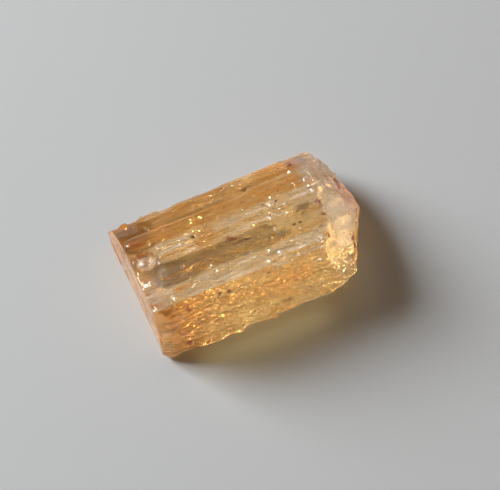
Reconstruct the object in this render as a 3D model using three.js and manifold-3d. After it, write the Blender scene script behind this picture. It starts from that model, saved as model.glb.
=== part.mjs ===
// A topaz crystal lying on one of its broad prism faces: one prism of the orthorhombic habit, striated and
// ribbed along its length, cleaved across at one end and closed by pyramid faces at the other.
// Millimetres, +Z up, +X towards the grown tip, -Y towards the steeper long side, the near side.
import * as THREE from "three";
import { ConvexGeometry } from "three/addons/geometries/ConvexGeometry.js";
import { mergeVertices } from "three/addons/utils/BufferGeometryUtils.js";
import Module from "manifold-3d";

const wasm = await Module();
wasm.setup();

// Driving dimensions. Places on the crystal are (x, u, z): x from the cleaved end, u from the middle of the
// roof towards the near side, z from the face it rests on.
const LENGTH = 15.0; // cleaved end to tip
const ROOF_HEIGHT = 4.5; // rest face to the broad face on top, under its ribs
const RIDGE_X = 12.0; // where the top pyramid face meets the highest ribs
const RIDGE_HEIGHT = 4.75;
const TIP_HEIGHT = 1.76; // rest face to the tip edge
const FINE_REACH = 0.2; // half the width of a fine rib
const FAR_AWAY = 40; // size of the blocks that only cut

// Topaz axial ratios. The a axis leans towards the near side by the angle of the prism face {110}, so that
// one {110} face is level on top and its twin is the rest face.
const A = 0.5285;
const B = 1;
const C = 0.9539;
const LEAN = Math.atan(A / B);

// The prism faces [h, k] in turn, from straight up over the near side to the underside and up the far side.
const PRISM_FACES = [
  [1, 1],
  [1, 0],
  [1, -1],
  [1, -2],
  [1, -4],
  [0, -1],
  [-1, -4],
  [-1, -2],
  [-1, -1],
  [-1, 0],
  [-1, 1],
  [-1, 2],
  [-1, 4],
  [0, 1],
  [1, 4],
  [1, 2],
];
const SHARP_FACES = PRISM_FACES.filter(([h, k]) => h !== 0 && Math.abs(k) <= 2 && k !== 0);

// A repeatable source of numbers from 0 to 1, for the growth that has no pattern.
function seeded(seed) {
  let state = seed;
  return () => {
    state = (state + 0x6d2b79f5) | 0;
    let t = Math.imul(state ^ (state >>> 15), 1 | state);
    t = (t + Math.imul(t ^ (t >>> 7), 61 | t)) ^ t;
    return ((t ^ (t >>> 14)) >>> 0) / 4294967296;
  };
}

// A three.js geometry as a solid that can be joined and cut.
function solidOf(geometry) {
  const bare = new THREE.BufferGeometry().setAttribute("position", geometry.getAttribute("position"));
  if (geometry.index) bare.setIndex(geometry.index);
  const merged = mergeVertices(bare, 1e-4);
  return new wasm.Manifold(
    new wasm.Mesh({
      numProp: 3,
      vertProperties: new Float32Array(merged.attributes.position.array),
      triVerts: new Uint32Array(merged.index.array),
    }),
  );
}

// A closed solid back as a three.js geometry.
function geometryOf(solid) {
  const mesh = solid.getMesh();
  const geometry = new THREE.BufferGeometry();
  geometry.setAttribute("position", new THREE.BufferAttribute(new Float32Array(mesh.vertProperties), 3));
  geometry.setIndex(new THREE.BufferAttribute(new Uint32Array(mesh.triVerts), 1));
  geometry.computeVertexNormals();
  return geometry;
}

const at = (x, u, z) => new THREE.Vector3(x, -u, z);
const hull = (points) => solidOf(new ConvexGeometry(points));

// The outward direction of the face (hkl).
function faceNormal(h, k, l) {
  const alongA = h / A;
  const alongB = k / B;
  const u = alongA * Math.sin(LEAN) - alongB * Math.cos(LEAN);
  const z = alongA * Math.cos(LEAN) + alongB * Math.sin(LEAN);
  return at(l / C, u, z).normalize();
}

// A block that fills everything behind the face (hkl) through point.
function behind(hkl, point) {
  const block = new THREE.BoxGeometry(FAR_AWAY, FAR_AWAY, FAR_AWAY);
  block.translate(0, 0, -FAR_AWAY / 2);
  block.applyQuaternion(new THREE.Quaternion().setFromUnitVectors(at(0, 0, 1), faceNormal(...hkl)));
  block.translate(point.x, point.y, point.z);
  return solidOf(block);
}

const cutTogether = (blocks) => blocks.reduce((a, b) => a.intersect(b));

// The long faces, each through one place on it.
const PRISM = [
  { hkl: [1, 1, 0], through: [0, 0, ROOF_HEIGHT] },
  { hkl: [1, 2, 0], through: [0, -0.8, ROOF_HEIGHT] },
  { hkl: [1, 4, 0], through: [0, -2.6, 3.89] },
  { hkl: [0, 1, 0], through: [0, -3.75, 3.03] },
  { hkl: [-1, 2, 0], through: [0, -4.72, 1.2] },
  { hkl: [-1, 1, 0], through: [0, -4.5, 0.45] },
  { hkl: [1, -1, 0], through: [0, 3.0, 4.7] },
  { hkl: [1, -2, 0], through: [0, 3.6, 3.82] },
  { hkl: [0, -1, 0], through: [0, 4.55, 0.65] },
  { hkl: [-1, -1, 0], through: [0, 0, 0] },
];

// The faces that close the grown end, and the small break at the near corner of the cleaved end.
const ENDS = [
  { hkl: [1, 1, 2], through: [RIDGE_X, 0, RIDGE_HEIGHT] },
  { hkl: [1, -1, 2], through: [LENGTH, 0.55, TIP_HEIGHT] },
  { hkl: [-1, -1, 2], through: [LENGTH, 0, TIP_HEIGHT] },
  { hkl: [-1, 1, 2], through: [13.6, -4.6, 1.2] },
  { hkl: [0, 1, 1], through: [13.4, -4.65, 1.5] },
  { hkl: [1, 2, 4], through: [LENGTH, -1.17, 1.5] },
  { hkl: [0, -4, 1], through: [12.5, 4.25, 0.7] },
  { hkl: [0, 0, -1], through: [0, 0, 0] },
  { hkl: [2, -4, -3], through: [0, 3.16, 3.92] },
  { hkl: [-1, -1, -3], through: [0.2, 0, 0] },
  { hkl: [0, -1, -1], through: [0.08, 4.3, 0.6] },
];
const REST = { hkl: [-1, -1, 0], through: [0, 0, 0] };

const solidBehind = (faces) => cutTogether(faces.map(({ hkl, through }) => behind(hkl, at(...through))));

// Where the outline of the prism turns, going over the roof from the far lower edge to the near lower edge.
function corners(faces) {
  return faces.slice(1).map((next, i) => {
    const last = faces[i];
    const n1 = faceNormal(...last.hkl);
    const n2 = faceNormal(...next.hkl);
    const d1 = n1.dot(at(...last.through));
    const d2 = n2.dot(at(...next.through));
    const span = n1.y * n2.z - n1.z * n2.y;
    return { u: -(d1 * n2.z - d2 * n1.z) / span, z: (n1.y * d2 - n2.y * d1) / span };
  });
}

const [roofM, farL, far140, farB, farLowL, farLowM, nearM, nearL, nearLowB, restM] = PRISM;
const OVER = corners([farLowL, farB, far140, farL, roofM, nearM, nearL, nearLowB]);
const UNDER = corners([nearL, nearLowB, restM, farLowM, farLowL, farB]);

// The place along mm round an outline, with the direction outwards there.
function placeOn(line, along) {
  let left = along;
  for (let i = 1; i < line.length; i++) {
    const du = line[i].u - line[i - 1].u;
    const dz = line[i].z - line[i - 1].z;
    const span = Math.hypot(du, dz);
    if (left <= span || i === line.length - 1) {
      const share = left / span;
      const u = line[i - 1].u + du * share;
      const z = line[i - 1].z + dz * share;
      return { u, z, outU: -dz / span, outZ: du / span };
    }
    left -= span;
  }
}

// The corners of a small prism of reach about (u, z), one side for each of the given faces.
function ring(faces, u, z, reach) {
  return faces.map(([h, k], i) => {
    const n1 = faceNormal(h, k, 0);
    const n2 = faceNormal(...faces[(i + 1) % faces.length], 0);
    const corner = n1.clone().add(n2);
    corner.multiplyScalar(reach / corner.dot(n1));
    return { u: u - corner.y, z: z + corner.z, du: -corner.y, dz: corner.z };
  });
}

// A slim crystal grown parallel to the prism, its far end tapered by pyramid faces and its near end a dome.
function column({ u, z, reach, startX, endX, dome = reach, faces = SHARP_FACES }) {
  const points = [];
  const domeSteps = 3;
  const taper = 0.3;
  for (const corner of ring(faces, u, z, reach)) {
    points.push(at(endX - reach * (1 - taper), corner.u, corner.z));
    points.push(at(endX, u + corner.du * taper, z + corner.dz * taper));
    for (let i = 0; i < domeSteps; i++) {
      const turn = (i / domeSteps) * (Math.PI / 2);
      const swell = Math.cos(turn);
      points.push(at(startX + dome * (1 - Math.sin(turn)), u + corner.du * swell, z + corner.dz * swell));
    }
  }
  return hull(points);
}

// A column along an outline, its middle shift outwards from it.
function columnOn(line, { along, shift, ...rest }) {
  const place = placeOn(line, along);
  return column({ u: place.u + place.outU * shift, z: place.z + place.outZ * shift, ...rest });
}

const rib = (line, { out, ...rest }) => columnOn(line, { shift: out - rest.reach, ...rest });
const groove = (line, { out, ...rest }) => columnOn(line, { shift: rest.reach - out, ...rest });

// The broad ribs that show first. Distances along the roof run from the far lower edge.
function mainRibs() {
  const toTip = LENGTH;
  return [
    // The far flank, with the row of short blocks along its edge.
    { along: 2.1, out: 0.13, reach: 0.5, startX: 0.28, endX: 1.35, faces: PRISM_FACES },
    { along: 2.1, out: 0.1, reach: 0.6, startX: 1.4, endX: 3.5, faces: PRISM_FACES },
    { along: 2.15, out: 0.07, reach: 0.75, startX: 3.5, endX: 9.2, faces: PRISM_FACES },
    { along: 2.3, out: 0.0, reach: 0.85, startX: 8.7, endX: toTip, faces: PRISM_FACES },
    { along: 3.05, out: 0.12, reach: 0.4, startX: 1.1, endX: 8.9 },
    { along: 3.55, out: 0.14, reach: 0.35, startX: 4.9, endX: toTip },
    { along: 4.3, out: 0.2, reach: 0.55, startX: 0.02, endX: 9.2, faces: PRISM_FACES },
    { along: 4.25, out: 0.17, reach: 0.5, startX: 8.2, endX: toTip },
    { along: 4.9, out: 0.12, reach: 0.3, startX: 1.4, endX: 11.4 },
    // The roof: fine stripes, the long round rib that starts behind the bowl, and flat ribs beside it.
    { along: 5.45, out: 0.08, reach: 0.2, startX: 1.75, endX: 8.8 },
    { along: 5.78, out: 0.07, reach: 0.17, startX: 1.9, endX: 9.8 },
    { along: 6.08, out: 0.09, reach: 0.2, startX: 1.7, endX: 9.2 },
    { along: 5.7, out: 0.17, reach: 0.42, startX: 4.1, endX: toTip },
    { along: 7.3, out: 0.28, reach: 0.85, startX: 0.92, endX: 9.4, faces: PRISM_FACES },
    { along: 6.55, out: 0.24, reach: 0.45, startX: 10.1, endX: toTip },
    { along: 7.65, out: 0.22, reach: 0.55, startX: 8.3, endX: toTip },
    { along: 8.35, out: 0.14, reach: 0.3, startX: 1.5, endX: 7.2 },
    { along: 8.85, out: 0.2, reach: 0.5, startX: 2.6, endX: toTip },
    { along: 9.45, out: 0.16, reach: 0.45, startX: 1.1, endX: 7.9 },
    { along: 9.7, out: 0.2, reach: 0.45, startX: 6.3, endX: toTip },
    // The near flank, in steps down to the near edge.
    { along: 10.35, out: 0.12, reach: 0.5, startX: 1.3, endX: toTip },
    { along: 11.0, out: 0.15, reach: 0.4, startX: 3.4, endX: 9.9 },
    { along: 11.75, out: 0.12, reach: 0.5, startX: 1.0, endX: 6.3 },
    { along: 12.0, out: 0.16, reach: 0.4, startX: 5.4, endX: toTip },
    { along: 12.9, out: 0.1, reach: 0.5, startX: 1.6, endX: 11.6 },
  ].map((spec) => rib(OVER, spec));
}

// Fine ribs or grooves over part of an outline, evenly across it and at chance along it. The shortest are a
// tenth of the longest.
function fineLines(line, make, { count, from, to, out, seed, firstX = 0.6, lastX = 9.6, longest = 9 }) {
  const chance = seeded(seed);
  return Array.from({ length: count }, (_, i) => {
    const reach = FINE_REACH * (0.7 + 0.6 * chance());
    const startX = firstX + (lastX - firstX) * chance();
    return make(line, {
      along: from + ((to - from) * (i + 0.2 + 0.6 * chance())) / count,
      out: out * (0.4 + 0.6 * chance()),
      reach,
      startX,
      endX: startX + longest * (0.1 + 0.9 * chance()),
      dome: reach * (0.6 + chance()),
    });
  });
}

function fineGrowth() {
  return [
    ...fineLines(OVER, rib, { count: 9, from: 0.3, to: 5.0, out: 0.13, seed: 37 }),
    ...fineLines(OVER, rib, { count: 10, from: 5.1, to: 10.0, out: 0.09, seed: 11 }),
    ...fineLines(OVER, rib, { count: 12, from: 10.0, to: 13.5, out: 0.14, seed: 23 }),
    ...fineLines(OVER, rib, { count: 16, from: 10, to: 13.4, out: 0.2, seed: 61, lastX: 12.5, longest: 1.6 }),
    ...fineLines(OVER, rib, {
      count: 9,
      from: 4.6,
      to: 9.8,
      out: 0.3,
      seed: 67,
      firstX: 8.2,
      lastX: 11.4,
      longest: 1.5,
    }),
  ];
}

// Grooves left between the ribs of the rest face.
function grooves() {
  return fineLines(UNDER, groove, { count: 12, from: 0.9, to: 9.2, out: 0.11, seed: 71 });
}

// A round hollow with its middle at (x, u) on a level surface at z.
function bowl({ x, u, z, radius, depth, stretch = 1 }) {
  const ball = new THREE.IcosahedronGeometry(radius, 3);
  ball.scale(stretch, 1, 1);
  ball.translate(x, -u, z + radius - depth);
  return solidOf(ball);
}

// A pit: four-sided, pointed inwards, open outwards and drawn out along the crystal.
function pit(line, { x, along, depth, width, stretch }) {
  const tall = 0.9;
  const place = placeOn(line, along);
  const outward = at(0, place.outU, place.outZ);
  const cone = new THREE.ConeGeometry(tall * width, tall, 4);
  cone.applyQuaternion(new THREE.Quaternion().setFromUnitVectors(new THREE.Vector3(0, -1, 0), outward));
  cone.scale(stretch, 1, 1);
  const middle = at(x, place.u, place.z).addScaledVector(outward, tall / 2 - depth);
  cone.translate(middle.x, middle.y, middle.z);
  return solidOf(cone);
}

// Etch pits at chance over part of an outline.
function etchPits(line, { count, from, to, seed }) {
  const chance = seeded(seed);
  return Array.from({ length: count }, () =>
    pit(line, {
      x: 1.4 + (LENGTH - 4.4) * chance(),
      along: from + (to - from) * chance(),
      depth: 0.02 + 0.08 * chance(),
      width: 0.35 + 0.3 * chance(),
      stretch: 1 + 1.4 * chance(),
    }),
  );
}

// The deeper pits on the roof that hold rust, as places [x, along the roof].
const RUST_PITS = [
  [2.1, 9.75],
  [4.15, 5.6],
  [4.2, 9.6],
  [4.75, 9.75],
  [6.1, 6.7],
  [7.1, 7.05],
  [8.4, 2.9],
  [8.5, 3.6],
  [9.25, 8.3],
  [10.0, 7.25],
  [10.5, 7.3],
  [11.5, 8.1],
  [11.6, 8.85],
  [11.8, 6.4],
];

// Round dimples near the cleaved end, as [x, u, radius, depth].
const DIMPLES = [
  [0.34, 1.2, 0.5, 0.1],
  [-0.05, 2.9, 0.42, 0.2],
  [0.1, 2.05, 0.6, 0.07],
];

function hollows() {
  return [
    bowl({ x: 0.86, u: -0.28, z: ROOF_HEIGHT, radius: 0.76, depth: 0.44, stretch: 1.02 }),
    ...DIMPLES.map(([x, u, radius, depth]) => bowl({ x, u, z: ROOF_HEIGHT, radius, depth })),
    ...RUST_PITS.map(([x, along]) => pit(OVER, { x, along, depth: 0.12, width: 0.5, stretch: 1.3 })),
    ...etchPits(OVER, { count: 9, from: 0.5, to: 5.0, seed: 8 }),
    ...etchPits(OVER, { count: 7, from: 5.0, to: 10.0, seed: 5 }),
    ...etchPits(OVER, { count: 12, from: 10.0, to: 13.4, seed: 19 }),
    ...etchPits(UNDER, { count: 5, from: 0.8, to: 9.0, seed: 13 }),
  ];
}

function crystal() {
  const grown = [...mainRibs(), ...fineGrowth()].reduce((a, b) => a.add(b), solidBehind([...PRISM, ...ENDS]));
  const ended = grown.intersect(solidBehind([...ENDS, REST]));
  return ended.subtract([...grooves(), ...hollows()].reduce((a, b) => a.add(b)));
}

const geometry = geometryOf(crystal());
geometry.computeBoundingBox();
const middle = geometry.boundingBox.getCenter(new THREE.Vector3());
geometry.translate(-middle.x, -middle.y, -geometry.boundingBox.min.z);

const topaz = new THREE.MeshStandardMaterial({ color: 0xd9a566, roughness: 0.12, metalness: 0 });
const stone = new THREE.Mesh(geometry, topaz);
stone.name = "topaz_crystal";

const part = new THREE.Group();
part.add(stone);
export default part;
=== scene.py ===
"""A topaz crystal lying on one of its prism faces, on a plain pale floor in soft light."""

import math

import bpy
from mathutils import Matrix, Vector, kdtree, noise


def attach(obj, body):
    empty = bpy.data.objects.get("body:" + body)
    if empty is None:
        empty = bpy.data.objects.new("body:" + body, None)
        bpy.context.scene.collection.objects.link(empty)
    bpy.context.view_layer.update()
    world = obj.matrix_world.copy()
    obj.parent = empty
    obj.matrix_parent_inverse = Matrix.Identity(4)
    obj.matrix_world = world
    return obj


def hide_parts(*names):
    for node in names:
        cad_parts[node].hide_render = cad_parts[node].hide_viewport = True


MM = 0.001

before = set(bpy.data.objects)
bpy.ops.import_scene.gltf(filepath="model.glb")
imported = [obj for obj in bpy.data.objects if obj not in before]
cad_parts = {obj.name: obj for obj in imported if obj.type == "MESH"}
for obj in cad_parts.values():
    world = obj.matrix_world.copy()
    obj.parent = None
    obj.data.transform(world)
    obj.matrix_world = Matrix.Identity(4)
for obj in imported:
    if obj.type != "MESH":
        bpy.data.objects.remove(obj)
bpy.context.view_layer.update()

# Grain of the crystal's mesh, its limit, the angle in degrees over which an edge stays sharp, and the
# distance at which loose triangles are joined.
GRAIN = 0.058 * MM
MOST_TRIANGLES = 190000
CREASE_ANGLE = 24.0
WELD = 1e-7

# All places below are in mm from the middle of the rest face: X runs along the crystal to its tip, Y to the
# far side and Z up.

# The round bowl by the cleaved end. Its spans are distances from the middle.
BOWL_MIDDLE = Vector((-6.65, 0.16, 4.5))
BOWL_RADIUS = 0.86
BOWL_EDGE = (0.8, 1.1)
BOWL_FLOOR = (0.45, 0.7)
BOWL_RIM = (0.6, 0.88, 0.07)

# The ribs and the far block, each as a line along X: from, to, and the Y at which it runs.
THICK_RIB = (-5.8, 0.6, -1.22)
SECOND_RIB = (-6.9, -3.9, 1.55)
FAR_BLOCK = (-6.95, -5.7, 2.75)

# Zones of the skin: how strong each is, and its spans in mm. Two numbers are where the zone begins and where
# it is full, and three are its two sides and how soft they are.
ZONES = {
    # Where relief is calmed or added.
    "thick rib": (1.0, {"y": (-2.05, -0.4, 0.1), "x": (-6.7, 1.2, 0.3)}),
    "roof past the cut": (1.0, {"x": (-6.5, -5.4)}),
    "flank past the cut": (1.0, {"x": (-6.7, -4.9)}),
    "rough end of the roof": (0.4, {"x": (0.5, 3.5)}),
    # Pale haze.
    "far haze": (1.0, {"x": (-6.6, -5.6), "y": (-0.35, 0.95, 0.15)}),
    "gap in the far haze": (0.9, {"x": (-3.5, -2.0, 0.3)}),
    "near haze": (1.0, {"x": (-8.0, -7.2), "y": (-3.8, -1.95, 0.2)}),
    "hazed near end": (0.75, {"x": (-5.6, -6.6), "y": (-4.2, -1.0, 0.3)}),
    "clear patch": (0.8, {"x": (2.8, 4.0, 0.2), "y": (-0.8, -0.05, 0.1)}),
    "fading haze": (0.3, {"x": (4.0, 4.8)}),
    # Milky frost.
    "frosted upper tip": (0.35, {"z": (0.8, 2.4)}),
    "frosted end of the roof": (0.65, {"x": (3.9, 5.3)}),
    # Orange.
    "amber far flank": (0.95, {"y": (0.75, 1.2)}),
    "amber patch": (0.75, {"x": (-3.5, -2.0, 0.3), "y": (-0.3, 1.0, 0.15)}),
    "amber near edge": (0.6, {"x": (-6.3, -5.0), "y": (-3.9, -3.2, 0.15)}),
    "amber beside the cut": (0.25, {"x": (-5.9, -6.9)}),
    "amber near corner": (1.0, {"x": (-2.6, -6.3)}),
    "amber far block": (1.0, {"x": (-5.2, -6.0), "y": (1.8, 2.2)}),
    "amber near patch": (0.7, {"x": (-0.1, 2.7, 0.3), "z": (2.7, 4.0, 0.3)}),
    "amber high tip": (0.4, {"y": (-0.3, 1.2)}),
    "amber low tip": (0.4, {"z": (2.4, 0.8)}),
    # Pink.
    "rose edge of the tip": (1.0, {"x": (6.2, 6.9), "y": (-0.7, 2.0, 0.4)}),
    "rose far top": (0.7, {"x": (4.2, 5.2, 0.4), "y": (2.2, 3.2)}),
    "rose near end": (0.3, {"x": (-3.4, -5.6)}),
    "rose beside the cut": (1.0, {"x": (-5.9, -6.9), "y": (2.2, 1.5)}),
    # Painted shade in olive brown, where the view through the stone looks dark.
    "blunt end of the rib": (1.0, {"x": (-3.6, -5.6)}),
    "shaded patch": (0.95, {"x": (0.9, 1.9, 0.25), "y": (-1.9, -1.35, 0.15)}),
    "shaded end patch": (0.95, {"x": (2.9, 3.9, 0.2), "y": (-0.7, -0.15, 0.12)}),
    "shaded line": (0.8, {"x": (0.2, 1.9, 0.2), "y": (-2.65, -2.45, 0.06)}),
    "shaded far line": (0.5, {"x": (-4.5, -0.7, 0.3), "y": (2.2, 2.45, 0.06)}),
    "shaded second rib": (0.85, {"x": (-5.2, -6.4)}),
    "shaded near corner": (0.35, {"x": (-4.6, -6.3)}),
    "shaded upper flank": (0.22, {"x": (-5.2, -1.8, 0.5), "z": (2.3, 4.2, 0.3)}),
}

# Faces, by the parts of their normals: where each part begins to count, and where it counts in full.
FACES = {
    "roof": {"y": (-0.45, -0.25), "z": (-0.2, 0.1)},
    "rough roof": {"z": (0.5, 0.9)},
    "near flank": {"y": (-0.25, -0.5)},
    "underside": {"z": (-0.1, -0.4)},
    "tip": {"x": (0.35, 0.6)},
    "cut end": {"x": (-0.6, -0.85)},
    "level": {"z": (0.7, 0.9)},
    "nearly level": {"z": (0.6, 0.85)},
    "upward": {"z": (0.3, 0.6)},
    "bowl floor": {"z": (0.2, 0.5)},
    "bowl rim": {"z": (0.2, 0.4)},
    "off the underside": {"z": (-0.3, 0.1)},
    "near side": {"y": (-0.3, -0.6)},
    "outward at the tip": {"x": (0.3, 0.6)},
}

# The faces that close the ends, by how far they look along X either way.
END_FACES = (0.3, 0.62)

# How the marks are broken up: a mean, then grains as their strength and the mm that they span along and
# across the crystal.
GRAINS = {
    "haze edge": (0.0, (0.25, 3.0, 0.8)),
    "haze": (0.7, (0.9, 1.6, 0.16), (0.4, 0.8, 0.8)),
    "frost edge": (0.0, (0.7, 0.8, 0.5)),
    "frost": (0.85, (0.5, 0.9, 0.9)),
    "amber": (0.75, (0.9, 1.8, 0.2)),
    "amber cut": (0.6, (0.5, 0.8, 0.8)),
    "amber flank": (0.0, (1.0, 1.5, 0.7)),
    "rose": (0.75, (0.6, 0.6, 0.6)),
    "shade edge": (0.0, (0.08, 2.0, 0.5)),
    "shade patch edge": (0.0, (0.5, 0.5, 0.25)),
    "rib": (0.74, (0.3, 1.6, 0.25)),
    "shaded flank": (1.0, (1.0, 0.7, 0.5)),
}

# Relief: its name, kind of pattern, the mm that the pattern's unit spans along X, Y and Z, its height in
# mm, the face that it lies on, and further settings of the pattern.
STEPPED = {"color_mode": "POSITION"}
RELIEF = [
    ("terraces", "VORONOI", (2.6, 0.3, 0.3), 0.09, "roof", STEPPED),
    ("striae", "CLOUDS", (4.0, 0.16, 0.16), 0.03, "roof", {"noise_depth": 1}),
    ("etching", "VORONOI", (0.9, 0.5, 0.5), 0.24, "underside", {}),
    ("steps", "VORONOI", (2.8, 0.42, 0.42), 0.3, "near flank", STEPPED),
    ("hillocks", "VORONOI", (0.5, 0.28, 0.28), 0.12, "near flank", {}),
    ("swells", "CLOUDS", (1.1, 0.5, 0.8), 0.22, "tip", {"noise_depth": 2}),
    ("frost", "VORONOI", (0.7, 0.35, 0.5), 0.07, "tip", {}),
    ("cleavage", "VORONOI", (0.3, 1.3, 0.7), 0.1, "cut end", STEPPED),
]

# How much relief is left by the cut end, on the roof and on the near flank, and how much the thick rib
# takes away.
ROOF_LEAST = 0.15
FLANK_LEAST = 0.1
RIB_CALM = 0.92

# Small round pits in the upper faces: X, Y and a radius in mm, then the depth, and how far up a face has to
# look to be pitted.
PITS = [
    (-5.6, -2.5, 0.2),
    (-4.6, -2.1, 0.18),
    (1.6, 0.9, 0.22),
    (2.2, 0.5, 0.2),
    (2.6, -0.4, 0.2),
    (1.2, -2.9, 0.22),
    (2.0, -3.1, 0.2),
]
PIT_DEPTH = 0.14 * MM
PITTED_FACE = 0.2

# Chips in the upper faces: X, Y, Z and a radius in mm. All are broken along one plane of the crystal, whose
# normal comes next, then how far in mm they are sunk, and how far along it a face has to look to be chipped.
CHIPS = [
    (-7.2, -1.3, 4.4, 0.17),
    (-7.0, -1.2, 4.4, 0.11),
    (-7.3, -2.9, 4.4, 0.16),
    (-7.4, -0.4, 4.5, 0.11),
    (-7.2, 1.7, 4.3, 0.10),
    (-6.7, 3.4, 3.2, 0.09),
    (-6.1, 0.5, 4.3, 0.14),
    (-6.0, 0.2, 4.4, 0.14),
    (-6.0, -0.2, 4.5, 0.14),
    (-6.1, -2.9, 4.6, 0.10),
    (-4.8, -2.6, 4.6, 0.07),
    (-4.3, 0.4, 4.6, 0.07),
    (-3.0, -2.2, 4.6, 0.07),
    (0.4, -2.2, 4.6, 0.13),
    (0.9, -2.6, 4.7, 0.12),
    (0.1, -2.9, 4.7, 0.09),
    (-1.1, 3.2, 3.7, 0.11),
    (-1.4, 1.9, 4.3, 0.09),
    (1.5, 3.1, 3.5, 0.09),
    (0.5, 3.4, 3.4, 0.10),
    (3.9, 2.5, 4.0, 0.13),
    (2.0, 1.2, 4.5, 0.13),
    (1.7, 0.6, 4.6, 0.11),
    (4.5, 0.9, 4.6, 0.10),
    (1.3, -1.2, 4.8, 0.07),
    (-2.4, -3.6, 4.0, 0.10),
    (-2.0, -3.5, 4.0, 0.10),
    (-3.2, -3.6, 4.0, 0.09),
]
CHIP_PLANE = Vector((0.241, -0.117, 0.963))
CHIP_SINK = 0.03
CHIPPED_FACE = 0.3

# Optical values of topaz. The absorption is per metre of crystal.
TOPAZ_IOR = 1.62
ABSORPTION_COLOUR = (0.91, 0.69, 0.19, 1.0)
ABSORPTION_DENSITY = 100.0
TRANSMISSION = 0.92

# Colours of the skin: clear gold, deep amber, frosted, olive for painted shade, pink, rusty and dark.
GOLD = (1.0, 0.84, 0.52, 1.0)
AMBER = (0.88, 0.42, 0.09, 1.0)
FROST = (1.0, 0.97, 0.9, 1.0)
PAINTED_SHADE_OLIVE = (0.17, 0.11, 0.013, 1.0)
ROSE = (0.9, 0.42, 0.3, 1.0)
RUST = (0.2, 0.03, 0.015, 1.0)
ORE = (0.07, 0.015, 0.006, 1.0)

# Roughness of the clean skin, and what full frost, the deepest shade and rust add to it.
CLEAN_ROUGHNESS = 0.06
FROST_ROUGHNESS = 0.3
SHADE_ROUGHNESS = 0.36
RUST_ROUGHNESS = 0.2
DEEP_SHADE_POWER = 3.0

# The milky film over the skin: its weight under full haze, its roughness and its index.
HAZE_FILM = 0.36
FILM_ROUGHNESS = 0.4
FILM_IOR = 3.2

# Fine striae: their cells to a mm, how these are drawn out along the crystal, the bump that they make, and
# how they break up the haze.
STRIAE_SCALE = 7.0
STRIAE_DETAIL = 3.0
STRIAE_STRETCH = (0.12 / MM, 1.0 / MM, 1.0 / MM)
STRIAE_BUMP = 0.5
STRIAE_DEPTH = 0.02 * MM
STREAK_FROM = (0.4, 0.6)
STREAK_TO = (0.45, 1.15)

# Fine dark specks: their cells to a metre, the range of chance in which a cell holds one, the size that this
# gives it in cells, and how crisp its edge is.
SPECK_CELLS = 1.5 / MM
SPECK_CHANCE = (0.62, 1.0)
SPECK_SIZE = (0.0, 0.16)
SPECK_CRISP = 25.0

# Grains of dark ore in the skin: X, Y, Z and a radius in mm.
DARK_SPOTS = [
    (-3.4, 0.5, 4.6, 0.15),
    (-0.5, -1.1, 4.8, 0.19),
    (-3.4, -3.5, 4.2, 0.14),
    (-2.8, -3.5, 4.0, 0.17),
    (0.9, 2.5, 4.0, 0.16),
    (1.3, 2.6, 4.0, 0.12),
    (2.5, -1.3, 4.7, 0.13),
    (2.9, -1.3, 4.7, 0.13),
    (1.0, 3.6, 3.2, 0.14),
]

# Where rust has settled, in the same way.
RUST_SPOTS = [
    (-1.4, -0.5, 4.5, 0.24),
    (-1.1, -0.7, 4.6, 0.20),
    (-5.5, -3.6, 4.0, 0.18),
    (-5.5, -3.4, 4.3, 0.14),
    (-5.9, -4.4, 1.2, 0.20),
    (-1.2, -3.9, 3.5, 0.13),
    (0.3, 1.5, 4.4, 0.13),
    (0.0, 1.7, 4.4, 0.11),
    (-1.9, 1.3, 4.4, 0.11),
    (2.2, 0.7, 4.6, 0.11),
    (1.4, -0.9, 4.7, 0.13),
    (0.9, -0.6, 4.6, 0.16),
    (4.4, 3.2, 3.5, 0.17),
    (1.4, 0.8, 4.6, 0.12),
    (4.5, -0.5, 4.7, 0.22),
    (4.5, -1.4, 4.7, 0.20),
    (4.0, -2.1, 4.7, 0.20),
    (4.2, -2.7, 4.4, 0.16),
    (6.2, -2.2, 1.5, 0.22),
    (6.2, -2.5, 1.1, 0.20),
    (6.8, 1.5, 2.4, 0.28),
    (6.8, 1.0, 2.5, 0.22),
    (6.5, 2.0, 2.4, 0.16),
    (1.7, -2.2, 4.6, 0.11),
    (-3.2, -2.7, 4.7, 0.11),
    (-3.0, -3.0, 4.7, 0.09),
    (0.9, -4.4, 1.6, 0.13),
    (-0.2, -3.5, 4.3, 0.13),
    (0.6, -2.7, 4.7, 0.14),
    (4.5, 0.7, 4.6, 0.14),
]

# The shape of a spot: what a mm along X and a mm up count for, how ragged its edge is and how finely, and
# the share of its radius that is full.
SPOT_ALONG = 0.8
SPOT_UP = 0.6
SPOT_RAGGED = 0.5
SPOT_GRAIN = 6
SPOT_MIDDLE = 0.6

# The floor: its side in metres, its gap below the crystal, and its finish.
FLOOR_SIDE = 3.0
FLOOR_GAP = 0.01 * MM
FLOOR_COLOUR = (0.42, 0.42, 0.42, 1.0)
FLOOR_ROUGHNESS = 0.85
FLOOR_SHINE = 0.2

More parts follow.
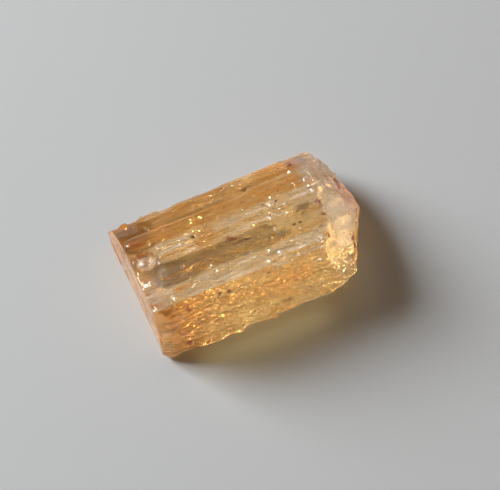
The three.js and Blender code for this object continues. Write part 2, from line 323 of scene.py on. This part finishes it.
# The lights: name, degrees round from straight behind to the right, degrees up, metres away, width and
# height in metres, radiance, colour, and the only rays that see the light.
LIGHTS = [
    ("window", -43, 28.5, 0.4, 0.19, 0.19, 33.5, (0.91, 0.97, 1.02), "diffuse"),
    ("lamp", 70, 50, 0.42, 0.13, 0.13, 28.0, (1.0, 0.99, 0.96), "glossy"),
    ("window shine", -58, 38.5, 0.42, 0.08, 0.08, 20.0, (1.0, 1.0, 1.0), "glossy"),
    ("ceiling", 24, 66, 1.0, 0.5, 0.5, 1.3, (1.0, 0.84, 0.66), "diffuse"),
    ("sheen", 24, 62.5, 1.02, 0.3, 0.3, 0.8, (1.0, 0.86, 0.6), "glossy"),
    ("window glow", -50, 32, 0.42, 0.2, 0.2, 10.5, (1.0, 0.99, 0.96), "transmission"),
    ("side glow", 120, 45, 1.0, 0.7, 0.7, 3.8, (1.0, 0.97, 0.92), "transmission"),
    ("rear glow", -150, 45, 1.0, 0.7, 0.7, 2.8, (1.0, 0.97, 0.92), "transmission"),
    ("glint", -20, 28, 1.0, 0.1, 0.1, 100.0, (1.0, 0.98, 0.94), "transmission"),
    ("wall glow", 8, 40, 1.01, 1.2, 0.8, 0.5, (1.0, 0.99, 0.97), "transmission"),
    ("sky glow", 0, 85, 1.04, 1.4, 1.4, 0.45, (1.0, 0.99, 0.97), "transmission"),
]

# The warm light that the crystal throws on the floor: its middle, the way that its back looks, its width
# and height, its radiance and its colour.
THROWN_MIDDLE = Vector((-1.2, -5.1, 1.1)) * MM
THROWN_BACK = Vector((0.0, 0.8, 0.6))
THROWN_WIDTH = 8.5 * MM
THROWN_HEIGHT = 1.3 * MM
THROWN_RADIANCE = 0.92
THROWN_COLOUR = (1.0, 0.8, 0.36)

# How the room looks: its own dim warm light, then for each kind of ray a colour and a strength.
DIM_COLOUR = (1.0, 0.62, 0.3, 1.0)
DIM_STRENGTH = 0.1
SURROUND = [
    ("Is Glossy Ray", (1.0, 0.94, 0.85, 1.0), 0.2),
    ("Is Transmission Ray", (1.0, 0.97, 0.9, 1.0), 0.5),
    ("Is Camera Ray", (1.0, 1.0, 1.0, 1.0), 0.62),
]

# The camera: degrees round from straight behind to the right, degrees up, its distance from what it aims
# at, its film and lens in mm, and the nearest and furthest that it sees, in metres.
CAMERA_ROUND = 204.4
CAMERA_UP = 62.5
CAMERA_AWAY = 110 * MM
CAMERA_AIM = Vector((0.077, -0.207, 2.0)) * MM
CAMERA_FILM = 36.0
CAMERA_LENS = 127.7
CAMERA_NEAR = 0.001
CAMERA_FAR = 20.0


def deselect_all():
    """Leaves edit mode and selects nothing."""
    if bpy.context.mode != "OBJECT":
        bpy.ops.object.mode_set(mode="OBJECT")
    bpy.ops.object.select_all(action="DESELECT")


def make_active(piece):
    """Selects this piece alone."""
    deselect_all()
    piece.select_set(True)
    bpy.context.view_layer.objects.active = piece


def copy_of(node, name):
    """A free copy of a solid of the frame, with its loose triangles merged."""
    make_active(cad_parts[node])
    bpy.ops.object.duplicate()
    piece = bpy.context.active_object
    piece.name = piece.data.name = name
    piece.parent = None
    piece.matrix_world = Matrix.Identity(4)
    for key in list(piece.keys()):
        del piece[key]
    piece.data.materials.clear()
    bpy.ops.object.mode_set(mode="EDIT")
    bpy.ops.mesh.select_all(action="SELECT")
    bpy.ops.mesh.remove_doubles(threshold=WELD)
    bpy.ops.object.mode_set(mode="OBJECT")
    return piece


def apply_all_modifiers(piece):
    """Works every modifier into the mesh, in order."""
    make_active(piece)
    for modifier in list(piece.modifiers):
        bpy.ops.object.modifier_apply(modifier=modifier.name)


def even_grain(piece, size):
    """Rebuilds the mesh with an even grain fine enough to carry relief."""
    remesh = piece.modifiers.new("even grain", "REMESH")
    remesh.mode = "VOXEL"
    remesh.voxel_size = size
    remesh.use_smooth_shade = True
    apply_all_modifiers(piece)


def thin_out(piece, most):
    """Merges the flattest triangles until no more than most are left."""
    triangles = sum(len(face.vertices) - 2 for face in piece.data.polygons)
    thinner = piece.modifiers.new("thin out", "DECIMATE")
    thinner.ratio = min(1.0, most / triangles)
    apply_all_modifiers(piece)


def weigh(piece, name, weight_of):
    """A vertex group that holds weight_of(place in mm, normal) for each vertex."""
    group = piece.vertex_groups.new(name=name)
    for vertex in piece.data.vertices:
        weight = weight_of(vertex.co / MM, vertex.normal)
        group.add([vertex.index], max(0.0, min(1.0, weight)), "REPLACE")
    return name


def relief(piece, name, kind, spans, height, group, settings):
    """Pushes the surface in and out by a pattern whose unit is spans mm along X, Y and Z."""
    pattern = bpy.data.textures.new(name, kind)
    pattern.noise_scale = 1.0
    for key, value in settings.items():
        setattr(pattern, key, value)
    bpy.ops.object.empty_add()
    gauge = bpy.context.active_object
    gauge.scale = Vector(spans) * MM
    bpy.context.view_layer.update()
    push = piece.modifiers.new(name, "DISPLACE")
    push.texture = pattern
    push.texture_coords = "OBJECT"
    push.texture_coords_object = gauge
    push.direction = "NORMAL"
    push.strength = height
    push.mid_level = 0.5
    push.vertex_group = group
    apply_all_modifiers(piece)
    bpy.data.objects.remove(gauge)


def carve(piece, name, depth, group):
    """Sinks the surface by depth where the group's weight is 1."""
    push = piece.modifiers.new(name, "DISPLACE")
    push.direction = "NORMAL"
    push.mid_level = 0.0
    push.strength = -depth
    push.vertex_group = group
    apply_all_modifiers(piece)


def rise(span, value):
    """0 before the span, 1 past it, and soft between. A span that runs down gives a fall."""
    begin, full = span
    t = max(0.0, min(1.0, (value - begin) / (full - begin)))
    return t * t * (3 - 2 * t)


def fall(span, value):
    """1 before the span, 0 past it, and soft between."""
    return 1 - rise(span, value)


def band(span, value):
    """1 between the two sides of the span, falling to 0 over its soft edge on both."""
    low, high, soft = span
    return rise((low - soft, low + soft), value) * fall((high - soft, high + soft), value)


def share(spans, vector):
    """How far a place or a normal lies within all of these spans."""
    amount = 1.0
    for axis, span in spans.items():
        along_axis = getattr(vector, axis)
        amount *= rise(span, along_axis) if len(span) == 2 else band(span, along_axis)
    return amount


def within(zone, place):
    """How strong a zone of the skin is at this place."""
    strength, spans = ZONES[zone]
    return strength * share(spans, place)


def facing(face, normal):
    """1 where the surface looks as this face does."""
    return share(FACES[face], normal)


def at_least(least, amount):
    """The amount, but rising from least instead of 0."""
    return least + (1 - least) * amount


def off_the_ends(normal):
    """1 on the long faces, 0 on the faces that close the ends."""
    return fall(END_FACES, abs(normal.x))


def beside_the_bowl(place):
    """0 in the round bowl by the cleaved end, 1 away from it."""
    return rise(BOWL_EDGE, (place - BOWL_MIDDLE).length)


def on_roof(place, normal):
    """The level roof and the far flank, calm on the thick rib, in the bowl and by the cut end."""
    calm_end = at_least(ROOF_LEAST, within("roof past the cut", place))
    calm_rib = 1 - RIB_CALM * within("thick rib", place)
    return off_the_ends(normal) * facing("roof", normal) * beside_the_bowl(place) * calm_end * calm_rib


def on_near_flank(place, normal):
    """The steep near side, and the rough last third of the roof."""
    flank = facing("near flank", normal) * at_least(FLANK_LEAST, within("flank past the cut", place))
    end_of_roof = within("rough end of the roof", place) * facing("rough roof", normal)
    return max(flank, end_of_roof) * off_the_ends(normal)


def on_underside(place, normal):
    """The faces that look down."""
    return off_the_ends(normal) * facing("underside", normal)


def on_tip(place, normal):
    """The pyramid faces."""
    return facing("tip", normal)


def on_cut_end(place, normal):
    """The cleaved end."""
    return facing("cut end", normal)


def in_pits(place, normal):
    """1 at the bottom of each small round pit in the skin, 0 at its rim."""
    deepest = 0.0
    if normal.z > PITTED_FACE:
        for x, y, radius in PITS:
            away = math.hypot(place.x - x, place.y - y) / radius
            deepest = max(deepest, 1 - away * away)
    return deepest


def on_skin(piece, spots):
    """The spots as a place and a radius in mm, each moved to the nearest grain of the skin."""
    grains = kdtree.KDTree(len(piece.data.vertices))
    for vertex in piece.data.vertices:
        grains.insert(vertex.co / MM, vertex.index)
    grains.balance()
    return [(grains.find(Vector(spot[:3]))[0], spot[3]) for spot in spots]


def chipping(chips):
    """Gives how far below the skin each chip's flat lies, as a share of the pits' depth."""
    def in_chips(place, normal):
        deepest = 0.0
        flatness = CHIP_PLANE.dot(normal)
        if flatness > CHIPPED_FACE:
            for middle, radius in chips:
                away = place - middle
                if away.length < radius:
                    below = CHIP_PLANE.dot(away) + CHIP_SINK
                    deepest = max(deepest, below / flatness * MM / PIT_DEPTH)
        return deepest
    return in_chips


RELIEF_FACES = {
    "roof": on_roof,
    "near flank": on_near_flank,
    "underside": on_underside,
    "tip": on_tip,
    "cut end": on_cut_end,
}


def build_crystal():
    """The crystal: the frame's solid with relief on each face, then pits and chips in the upper ones."""
    piece = copy_of("topaz_crystal", "topaz_stone")
    even_grain(piece, GRAIN)
    for face, weight_of in RELIEF_FACES.items():
        weigh(piece, face, weight_of)
    for name, kind, spans, height, face, settings in RELIEF:
        relief(piece, name, kind, spans, height * MM, face, settings)
    carve(piece, "pits", PIT_DEPTH, weigh(piece, "pits", in_pits))
    carve(piece, "chips", PIT_DEPTH, weigh(piece, "chips", chipping(on_skin(piece, CHIPS))))
    piece.vertex_groups.clear()
    thin_out(piece, MOST_TRIANGLES)
    make_active(piece)
    bpy.ops.object.shade_smooth_by_angle(angle=math.radians(CREASE_ANGLE))
    return piece


def grain_noise(place, along, across):
    """Chance that is drawn out along the crystal, from -1 to 1, with cells of the given mm."""
    return noise.noise(Vector((place.x / along, place.y / across, place.z / across)))


def broken(name, place):
    """An amount around its mean, broken up by its grains."""
    amount, *grains = GRAINS[name]
    for strength, along, across in grains:
        amount += strength * grain_noise(place, along, across)
    return amount


def shifted(place, along, across):
    """The place, moved by so many mm."""
    return Vector((place.x + along, place.y + across, place.z))


def from_line(place, line):
    """Distance in mm, seen from above, from a line along X."""
    low, high, y = line
    along = max(low, min(high, place.x))
    return math.hypot(place.x - along, place.y - y)


def in_spots(place, spots):
    """1 in the middle of a spot, falling to 0 at its ragged edge."""
    amount = 0.0
    for x, y, z, radius in spots:
        away = Vector(((place.x - x) * SPOT_ALONG, place.y - y, (place.z - z) * SPOT_UP))
        ragged = radius * (1 + SPOT_RAGGED * noise.noise(place * SPOT_GRAIN))
        amount = max(amount, fall((SPOT_MIDDLE * ragged, ragged), away.length))
    return amount


def rust_at(place, normal):
    """How much rust lies on the surface."""
    return in_spots(place, RUST_SPOTS)


def ore_at(place, normal):
    """How much dark ore lies in the surface."""
    return in_spots(place, DARK_SPOTS)


def rose_at(place, normal):
    """How pink the skin is: at the edge of the tip, on the far top, and faintly by the cleaved end."""
    edge = within("rose edge of the tip", place)
    top = within("rose far top", place)
    near_end = within("rose near end", place) * facing("near side", normal)
    by_the_cut = 0.35
    less_on_the_cut = 0.2 * facing("cut end", normal)
    beside_cut = within("rose beside the cut", place) * (by_the_cut - less_on_the_cut)
    return max(edge, top, beside_cut, near_end) * broken("rose", place)


def haze_at(place, normal):
    """How far the skin is hazed pale: two streaky bands of the roof, its near end, and painted light in the
    bowl.
    """
    moved = shifted(place, 0.0, broken("haze edge", place))
    far_band = within("far haze", moved) * (1 - within("gap in the far haze", place))
    bands = max(far_band, within("near haze", moved)) * broken("haze", place)
    bands *= 1 - within("clear patch", place)
    roof = max(bands, within("hazed near end", place)) * facing("level", normal)
    roof *= 1 - within("fading haze", place)
    # Painted light: the bowl's floor is made pale, as if light were seen through a lens, under a milky film.
    painted_light_in_bowl = 0.95
    bowl = painted_light_in_bowl * fall(BOWL_FLOOR, (place - BOWL_MIDDLE).xy.length) * facing("bowl floor", normal)
    return max(roof, bowl)


def frost_at(place, normal):
    """How milky the surface is, all over the grown tip and at the end of the roof."""
    milky_place = Vector((5.9, -1.5, 3.0))
    milky_span = (1.1, 2.2)
    most_milky = 0.75
    least = 0.25
    milky = most_milky * fall(milky_span, (place - milky_place).length)
    tip = (least + within("frosted upper tip", place) + milky) * broken("frost", place)
    ragged = shifted(place, broken("frost edge", place), 0.0)
    end_of_roof = within("frosted end of the roof", ragged) * facing("upward", normal)
    return max(tip * facing("outward at the tip", normal), end_of_roof)


def amber_at(place, normal):
    """How deep the orange is: on the flanks, parts of the roof, the far block, the cut and the tip."""
    level = facing("level", normal)
    near_side = facing("near side", normal)
    streaked = broken("amber", place) * max(
        within("amber far flank", place) * facing("off the underside", normal),
        within("amber patch", place),
        within("amber near edge", place) * level,
        within("amber beside the cut", place) * level * beside_the_bowl(place),
    )
    rib_span = (0.5, 0.7)
    most_on_rib = 0.8
    second_rib = most_on_rib * fall(rib_span, from_line(place, SECOND_RIB)) * level
    cloud_span = (-0.1, 0.35)
    most_in_clouds = 0.5
    clouds = most_in_clouds * rise(cloud_span, broken("amber flank", place))
    flank = near_side * max(within("amber near corner", place), clouds, within("amber near patch", place))
    sides = off_the_ends(normal) * max(streaked, second_rib, flank)
    cut = facing("cut end", normal) * broken("amber cut", place)
    tip = max(within("amber low tip", place), within("amber high tip", place))
    return max(sides, within("amber far block", place), cut, tip * facing("outward at the tip", normal))


def painted_shade_on_rib(place, shift):
    """Painted olive-brown shade on the thick round rib, wider and deeper at its blunt end."""
    reach = 0.66
    reach_at_the_end = 0.13
    soft_edge = 0.15
    deeper_at_the_end = 0.4
    blunt_end = within("blunt end of the rib", place)
    reach += reach_at_the_end * blunt_end
    rib = fall((reach, reach + soft_edge), from_line(place, THICK_RIB) + shift)
    return rib * (broken("rib", place) + deeper_at_the_end * blunt_end)


def painted_shade_at_bowl_rim(place):
    """Painted shade as dark crescents at the bowl's rim: one towards the rib, a fainter one at the cut end.
    """
    to_the_rib = Vector((0.5, -0.85))
    rib_span = (0.2, 0.8)
    end_span = (0.5, 0.9)
    most_at_the_end = 0.7
    out = (place - BOWL_MIDDLE).xy
    rib_side = rise(rib_span, out.dot(to_the_rib) / BOWL_RADIUS)
    end_side = most_at_the_end * rise(end_span, -out.x / BOWL_RADIUS)
    return band(BOWL_RIM, out.length) * max(rib_side, end_side)


def painted_shade_at(place, normal):
    """How deep the painted olive-brown shade is: on the thick round rib, the rims, the dark stripes, the far
    block and the near side.
    """
    shift = broken("shade edge", place)
    moved = shifted(place, 0.0, shift)
    ragged = shifted(place, broken("shade patch edge", place), shift)
    top = facing("nearly level", normal) * max(
        painted_shade_on_rib(place, shift),
        within("shaded patch", ragged),
        within("shaded end patch", ragged),
        within("shaded line", moved),
    )
    block_span = (0.4, 0.7)
    most_on_block = 0.6
    far_block = most_on_block * fall(block_span, from_line(place, FAR_BLOCK))
    rib_rim = (0.42, 0.62, 0.07)
    second_rib = within("shaded second rib", place) * band(rib_rim, from_line(place, SECOND_RIB))
    upper_flank = within("shaded upper flank", place) * broken("shaded flank", place)
    near_side = facing("near side", normal) * max(within("shaded near corner", place), upper_flank)
    bowl = painted_shade_at_bowl_rim(place) * facing("bowl rim", normal)
    return max(top, within("shaded far line", moved), near_side, far_block, second_rib, bowl)


MARKS = {
    "haze": haze_at,
    "frost": frost_at,
    "amber": amber_at,
    "rose": rose_at,
    "shade": painted_shade_at,
    "rust": rust_at,
    "ore": ore_at,
}


def mark_surface(piece):
    """Keeps every mark as a value from 0 to 1 on each vertex."""
    for name, value_at in MARKS.items():
        layer = piece.data.attributes.new(name, "FLOAT", "POINT")
        values = [max(0.0, min(1.0, value_at(v.co / MM, v.normal))) for v in piece.data.vertices]
        layer.data.foreach_set("value", values)


def add_node(tree, kind, **settings):
    """A shader node with its settings."""
    node = tree.nodes.new(kind)
    for key, value in settings.items():
        setattr(node, key, value)
    return node


def feed(tree, source, socket):
    """Gives a socket another node's output, or a plain value."""
    if isinstance(source, bpy.types.NodeSocket):
        tree.links.new(source, socket)
    else:
        socket.default_value = source


def work_out(tree, operation, *sources, clamp=False):
    """The result of one sum on outputs and plain values."""
    node = add_node(tree, "ShaderNodeMath", operation=operation, use_clamp=clamp)
    for source, socket in zip(sources, node.inputs):
        feed(tree, source, socket)
    return node.outputs["Value"]


def spread(tree, value, before, after):
    """The value, with the range before stretched to the range after."""
    node = add_node(tree, "ShaderNodeMapRange")
    feed(tree, value, node.inputs["Value"])
    for name, number in zip(("From Min", "From Max", "To Min", "To Max"), before + after):
        node.inputs[name].default_value = number
    return node.outputs["Result"]


def tint_by(tree, mask, below, colour):
    """Lays a colour over the colour below by a mask, and gives the result."""
    mix = add_node(tree, "ShaderNodeMix", data_type="RGBA")
    feed(tree, mask, mix.inputs["Factor"])
    feed(tree, below, mix.inputs["A"])
    feed(tree, colour, mix.inputs["B"])
    return mix.outputs["Result"]


def dirt_specks(tree, place):
    """A mask of fine dark specks, one in about every third cell of the skin."""
    cells = add_node(tree, "ShaderNodeTexVoronoi")
    cells.inputs["Scale"].default_value = SPECK_CELLS
    feed(tree, place, cells.inputs["Vector"])
    size = spread(tree, cells.outputs["Color"], SPECK_CHANCE, SPECK_SIZE)
    inside = work_out(tree, "SUBTRACT", size, cells.outputs["Distance"])
    return work_out(tree, "MULTIPLY", inside, SPECK_CRISP, clamp=True)


def fine_striae(tree, place):
    """Fine streaks along the crystal."""
    stretch = add_node(tree, "ShaderNodeMapping")
    stretch.inputs["Scale"].default_value = STRIAE_STRETCH
    feed(tree, place, stretch.inputs["Vector"])
    striae = add_node(tree, "ShaderNodeTexNoise")
    striae.inputs["Scale"].default_value = STRIAE_SCALE
    striae.inputs["Detail"].default_value = STRIAE_DETAIL
    feed(tree, stretch.outputs["Vector"], striae.inputs["Vector"])
    return striae.outputs["Fac"]


def bump_from(tree, height):
    """A normal that these heights work into the surface."""
    bump = add_node(tree, "ShaderNodeBump")
    bump.inputs["Strength"].default_value = STRIAE_BUMP
    bump.inputs["Distance"].default_value = STRIAE_DEPTH
    feed(tree, height, bump.inputs["Height"])
    return bump.outputs["Normal"]


def topaz_volume(tree):
    """The golden absorption inside the stone."""
    absorb = add_node(tree, "ShaderNodeVolumeAbsorption")
    absorb.inputs["Color"].default_value = ABSORPTION_COLOUR
    absorb.inputs["Density"].default_value = ABSORPTION_DENSITY
    return absorb.outputs["Volume"]


def topaz_finish():
    """Topaz: plain transmission and absorption, with frosted and rusty places on its skin, and painted shade
    and painted light.
    """
    material = bpy.data.materials.new("topaz")
    material.use_nodes = True
    tree = material.node_tree
    tree.nodes.clear()
    stone = add_node(tree, "ShaderNodeBsdfPrincipled")
    output = add_node(tree, "ShaderNodeOutputMaterial")
    feed(tree, stone.outputs["BSDF"], output.inputs["Surface"])
    feed(tree, topaz_volume(tree), output.inputs["Volume"])

    place = add_node(tree, "ShaderNodeTexCoord").outputs["Object"]
    striae = fine_striae(tree, place)
    marks = {}
    for name in MARKS:
        marks[name] = add_node(tree, "ShaderNodeAttribute", attribute_name=name).outputs["Fac"]
    streaks = spread(tree, striae, STREAK_FROM, STREAK_TO)
    haze = work_out(tree, "MULTIPLY", marks["haze"], streaks, clamp=True)
    milky = work_out(tree, "MAXIMUM", haze, marks["frost"])

    colour = tint_by(tree, marks["amber"], GOLD, AMBER)
    colour = tint_by(tree, milky, colour, FROST)
    colour = tint_by(tree, marks["rose"], colour, ROSE)
    # Painted shade: olive brown laid where the view through the stone looks dark.
    colour = tint_by(tree, marks["shade"], colour, PAINTED_SHADE_OLIVE)
    colour = tint_by(tree, marks["rust"], colour, RUST)
    colour = tint_by(tree, dirt_specks(tree, place), colour, RUST)
    colour = tint_by(tree, marks["ore"], colour, ORE)

    roughness = work_out(tree, "MULTIPLY_ADD", milky, FROST_ROUGHNESS, CLEAN_ROUGHNESS)
    deep_shade = work_out(tree, "POWER", marks["shade"], DEEP_SHADE_POWER)
    roughness = work_out(tree, "MULTIPLY_ADD", deep_shade, SHADE_ROUGHNESS, roughness)
    roughness = work_out(tree, "MULTIPLY_ADD", marks["rust"], RUST_ROUGHNESS, roughness)

    thin_film = work_out(tree, "MULTIPLY", haze, HAZE_FILM)
    film = work_out(tree, "MAXIMUM", thin_film, marks["frost"], clamp=True)
    film = work_out(tree, "SUBTRACT", film, marks["rust"], clamp=True)

    looks = {
        "Base Color": colour,
        "Metallic": 0.0,
        "Roughness": roughness,
        "IOR": TOPAZ_IOR,
        "Transmission Weight": TRANSMISSION,
        "Normal": bump_from(tree, striae),
        "Coat Weight": film,
        "Coat Roughness": FILM_ROUGHNESS,
        "Coat IOR": FILM_IOR,
    }
    for name, source in looks.items():
        feed(tree, source, stone.inputs[name])
    return material


def build_floor(height):
    """A plain pale matt floor, not part of the crystal."""
    deselect_all()
    bpy.ops.mesh.primitive_plane_add(size=FLOOR_SIDE, location=(0, 0, height))
    floor = bpy.context.active_object
    floor.name = "floor"
    material = bpy.data.materials.new("floor")
    material.use_nodes = True
    shader = material.node_tree.nodes["Principled BSDF"]
    shader.inputs["Base Color"].default_value = FLOOR_COLOUR
    shader.inputs["Roughness"].default_value = FLOOR_ROUGHNESS
    shader.inputs["Specular IOR Level"].default_value = FLOOR_SHINE
    floor.data.materials.append(material)
    return floor


def way_to(azimuth, elevation):
    """The way out from the crystal, in degrees round from straight behind to the right, and degrees up."""
    turn = math.radians(azimuth)
    rising = math.radians(elevation)
    return Vector((math.sin(turn) * math.cos(rising), math.cos(turn) * math.cos(rising), math.sin(rising)))


def soft_light(name, middle, back, width, height, radiance, colour, rays):
    """A soft light at its middle, with its back turned to one way, that only one kind of ray sees."""
    data = bpy.data.lights.new(name, "AREA")
    data.shape = "RECTANGLE"
    data.size = width
    data.size_y = height
    data.energy = radiance * math.pi * width * height
    data.color = colour
    light = bpy.data.objects.new(name, data)
    light.location = middle
    light.rotation_euler = back.to_track_quat("Z", "Y").to_euler()
    light.visible_camera = False
    light.visible_diffuse = rays == "diffuse"
    light.visible_glossy = rays == "glossy"
    light.visible_transmission = rays == "transmission"
    bpy.context.scene.collection.objects.link(light)


def light_scene():
    """Lights for matt surfaces, for reflections and for the view through the stone, and the room itself."""
    for name, azimuth, elevation, away, width, height, radiance, colour, rays in LIGHTS:
        way = way_to(azimuth, elevation)
        soft_light(name, way * away, way, width, height, radiance, colour, rays)
    thrown = (THROWN_WIDTH, THROWN_HEIGHT, THROWN_RADIANCE, THROWN_COLOUR)
    soft_light("thrown glow", THROWN_MIDDLE, THROWN_BACK, *thrown, "diffuse")
    build_surround()


def build_surround():
    """A dim warm room, that looks pale straight ahead, in reflections and through the stone."""
    world = bpy.data.worlds.new("surround")
    world.use_nodes = True
    tree = world.node_tree
    path = add_node(tree, "ShaderNodeLightPath")
    dim = tree.nodes["Background"]
    dim.inputs["Color"].default_value = DIM_COLOUR
    dim.inputs["Strength"].default_value = DIM_STRENGTH
    look = dim.outputs["Background"]
    for ray, colour, strength in SURROUND:
        pale = add_node(tree, "ShaderNodeBackground")
        pale.inputs["Color"].default_value = colour
        pale.inputs["Strength"].default_value = strength
        mix = add_node(tree, "ShaderNodeMixShader")
        tree.links.new(path.outputs[ray], mix.inputs["Fac"])
        tree.links.new(look, mix.inputs[1])
        tree.links.new(pale.outputs["Background"], mix.inputs[2])
        look = mix.outputs["Shader"]
    tree.links.new(look, tree.nodes["World Output"].inputs["Surface"])
    bpy.context.scene.world = world


def set_camera():
    """The camera above and in front, a little to the left."""
    back = way_to(CAMERA_ROUND, CAMERA_UP)
    data = bpy.data.cameras.new("camera")
    data.sensor_width = CAMERA_FILM
    data.lens = CAMERA_LENS
    data.clip_start = CAMERA_NEAR
    data.clip_end = CAMERA_FAR
    camera = bpy.data.objects.new("camera", data)
    camera.location = CAMERA_AIM + back * CAMERA_AWAY
    camera.rotation_mode = "QUATERNION"
    camera.rotation_quaternion = back.to_track_quat("Z", "Y")
    bpy.context.scene.collection.objects.link(camera)
    bpy.context.scene.camera = camera


def set_light_paths():
    """Enough bounces for light to cross the crystal many times, and plain colour."""
    scene = bpy.context.scene
    scene.cycles.max_bounces = 24
    scene.cycles.transmission_bounces = 20
    scene.cycles.glossy_bounces = 16
    scene.cycles.diffuse_bounces = 4
    scene.cycles.sample_clamp_indirect = 0.0
    scene.view_settings.view_transform = "Standard"


stone = build_crystal()
mark_surface(stone)
stone.data.materials.append(topaz_finish())
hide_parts("topaz_crystal")
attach(stone, "root")

lowest = min(v.co.z for v in stone.data.vertices)
build_floor(lowest - FLOOR_GAP)
light_scene()
set_camera()
set_light_paths()
